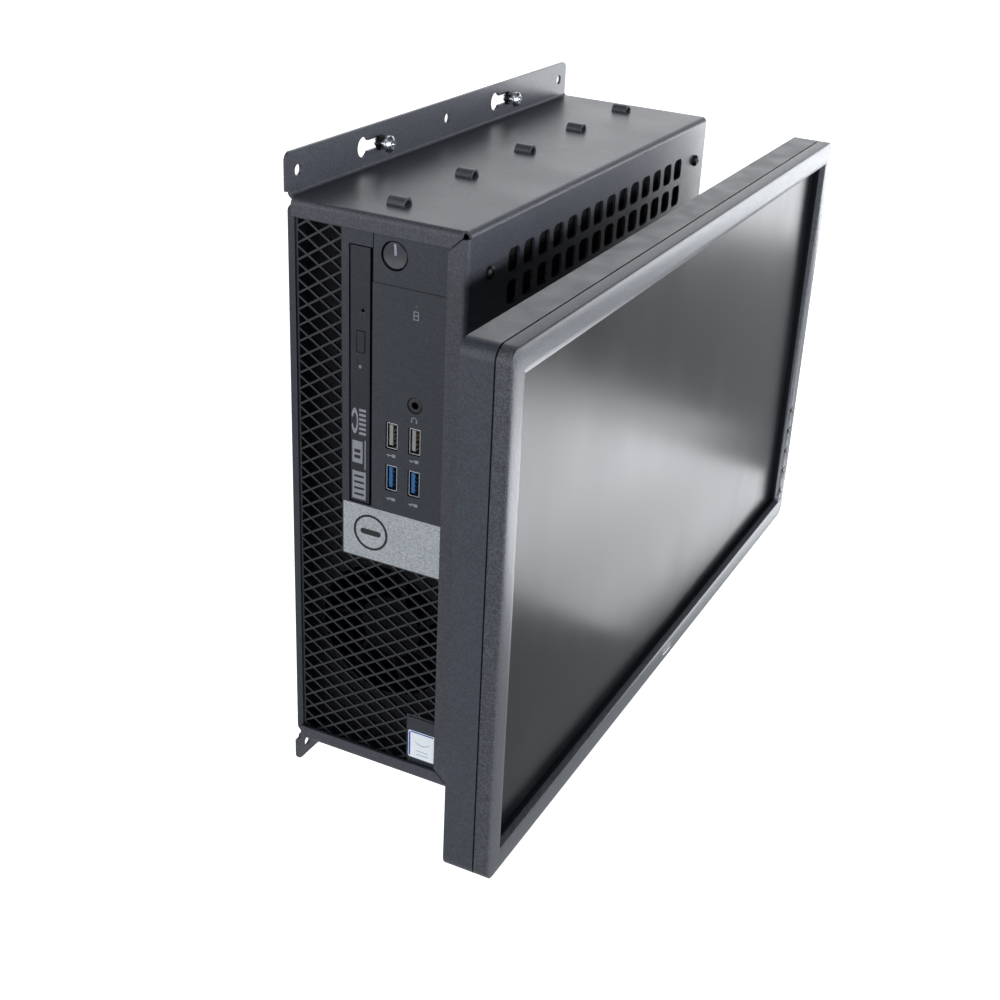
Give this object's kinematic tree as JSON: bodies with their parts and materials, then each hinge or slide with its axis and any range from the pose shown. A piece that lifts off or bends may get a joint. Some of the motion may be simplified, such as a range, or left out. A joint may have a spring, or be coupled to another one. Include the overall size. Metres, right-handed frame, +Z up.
{
  "type": "wall mounted mini pc with monitor",
  "caption": "Small desktop computer on edge in a folded steel wall enclosure, with a flat widescreen monitor carried in front of it.",
  "frame": {"origin": "wall face of the enclosure's top flange, on the line of its fixing holes, at mid length", "axes": "+Z up; +Y into the wall, so the screen faces -Y; +X along the monitor, so the computer's front faces -X"},
  "size_m": [0.44, 0.1547, 0.3315],
  "materials": {
    "powder_coat": "fine textured black powder coat",
    "zinc_screw": "bright zinc plate",
    "black_hardware": "black oxide",
    "rubber_black": "matt rubber",
    "case_plastic": "fine grained black plastic",
    "grille_plastic": "satin black plastic",
    "band_metal": "fine brushed silver",
    "emblem_dark": "gloss dark print",
    "button_plastic": "satin black button",
    "light_pipe": "translucent light pipe",
    "switch_body": "black switch body",
    "jack_plastic": "black socket",
    "port_metal": "nickel plated shell",
    "tongue_white": "white contact tongue",
    "tongue_blue": "blue contact tongue",
    "circuit_green": "solder mask",
    "label_print": "printed film",
    "chassis_steel": "galvanised sheet",
    "standoff_brass": "turned brass",
    "cover_paint": "black case paint",
    "cell_steel": "nickel plated cell",
    "heatsink_alloy": "extruded aluminium",
    "fan_plastic": "black fan plastic",
    "drive_alloy": "cast drive body",
    "caddy_plastic": "blue caddy plastic",
    "inlet_plastic": "black inlet",
    "drive_plastic": "satin black drive bezel",
    "tray_plastic": "black tray",
    "drive_lamp": "unlit green lamp",
    "bezel_silver": "satin speckled grey bezel",
    "cover_plastic": "fine grained dark cover",
    "panel_steel": "panel frame",
    "diffuser_white": "light guide",
    "screen_glass": "dark matt screen",
    "circuit_tan": "single sided board",
    "menu_plastic": "grey push button"
  },
  "bodies": {
    "root": {"wall_enclosure": "powder_coat", "keyhole_screws": "zinc_screw", "keyhole_collars": "black_hardware", "panel_screws": "black_hardware", "liner_pads": "rubber_black", "vesa_bracket": "powder_coat", "vesa_screws": "zinc_screw", "pc_front_bezel": "case_plastic", "front_grille": "grille_plastic", "silver_band": "band_metal", "emblem_ring": "emblem_dark", "power_switch": "switch_body", "activity_light": "light_pipe", "headset_jack": "jack_plastic", "usb_shells": "port_metal", "usb2_tongues": "tongue_white", "usb3_tongues": "tongue_blue", "front_io_board": "circuit_green", "label_pad": "case_plastic", "info_label": "label_print", "pc_chassis": "cover_paint", "board_standoffs": "standoff_brass", "pc_side_cover": "cover_paint", "motherboard": "circuit_green", "coin_cell": "cell_steel", "cpu_heatsink": "heatsink_alloy", "fan_frame": "fan_plastic", "memory_modules": "circuit_green", "hard_drive": "drive_alloy", "drive_caddy": "caddy_plastic", "psu_case": "chassis_steel", "power_inlet": "inlet_plastic", "rear_io_plate": "chassis_steel", "rear_ports": "port_metal", "slot_covers": "chassis_steel", "optical_drive_case": "chassis_steel", "monitor_bezel": "bezel_silver", "monitor_back_cover": "cover_plastic", "monitor_chassis": "panel_steel", "lcd_frame": "panel_steel", "lcd_backlight": "diffuser_white", "lcd_glass": "screen_glass", "monitor_main_board": "circuit_green", "monitor_power_board": "circuit_tan", "monitor_ports": "inlet_plastic", "monitor_power_light": "light_pipe"},
    "power_button": {"power_button": "button_plastic", "power_light_pipe": "light_pipe"},
    "drive_tray": {"drive_tray": "tray_plastic", "drive_bezel": "drive_plastic", "drive_light": "drive_lamp"},
    "eject_button": {"eject_button": "drive_plastic"},
    "disc_spindle": {"disc_spindle": "cell_steel"},
    "fan_rotor": {"fan_rotor": "fan_plastic"},
    "psu_fan_rotor": {"psu_fan_rotor": "fan_plastic"},
    "menu_button_1": {"menu_button_1": "menu_plastic"},
    "menu_button_2": {"menu_button_2": "menu_plastic"},
    "menu_button_3": {"menu_button_3": "menu_plastic"},
    "menu_button_4": {"menu_button_4": "menu_plastic"},
    "monitor_power_button": {"monitor_power_button": "menu_plastic"}
  },
  "joints": [
    {"name": "power_button_press", "type": "slide", "parent": "root", "child": "power_button", "axis": [1, 0, 0], "range_m": [0, 0.001], "stiffness_N_per_m": 400},
    {"name": "tray_slide", "type": "slide", "parent": "root", "child": "drive_tray", "axis": [-1, 0, 0], "range_m": [0, 0.12]},
    {"name": "eject_button_press", "type": "slide", "parent": "drive_tray", "child": "eject_button", "axis": [1, 0, 0], "range_m": [0, 0.0008], "stiffness_N_per_m": 300},
    {"name": "spindle_spin", "type": "hinge", "parent": "drive_tray", "child": "disc_spindle", "pos_m": [-0.0802, -0.038, -0.0911], "axis": [0, 1, 0], "continuous": true},
    {"name": "fan_spin", "type": "hinge", "parent": "root", "child": "fan_rotor", "pos_m": [-0.1214, -0.0465, -0.2335], "axis": [1, 0, 0], "continuous": true},
    {"name": "psu_fan_spin", "type": "hinge", "parent": "root", "child": "psu_fan_rotor", "pos_m": [0.1364, -0.059, -0.0695], "axis": [1, 0, 0], "continuous": true},
    {"name": "menu_button_1_press", "type": "slide", "parent": "root", "child": "menu_button_1", "axis": [0, 1, 0], "range_m": [0, 0.0006], "stiffness_N_per_m": 250},
    {"name": "menu_button_2_press", "type": "slide", "parent": "root", "child": "menu_button_2", "axis": [0, 1, 0], "range_m": [0, 0.0006], "stiffness_N_per_m": 250},
    {"name": "menu_button_3_press", "type": "slide", "parent": "root", "child": "menu_button_3", "axis": [0, 1, 0], "range_m": [0, 0.0006], "stiffness_N_per_m": 250},
    {"name": "menu_button_4_press", "type": "slide", "parent": "root", "child": "menu_button_4", "axis": [0, 1, 0], "range_m": [0, 0.0006], "stiffness_N_per_m": 250},
    {"name": "monitor_power_press", "type": "slide", "parent": "root", "child": "monitor_power_button", "axis": [0, 1, 0], "range_m": [0, 0.0006], "stiffness_N_per_m": 250}
  ]
}
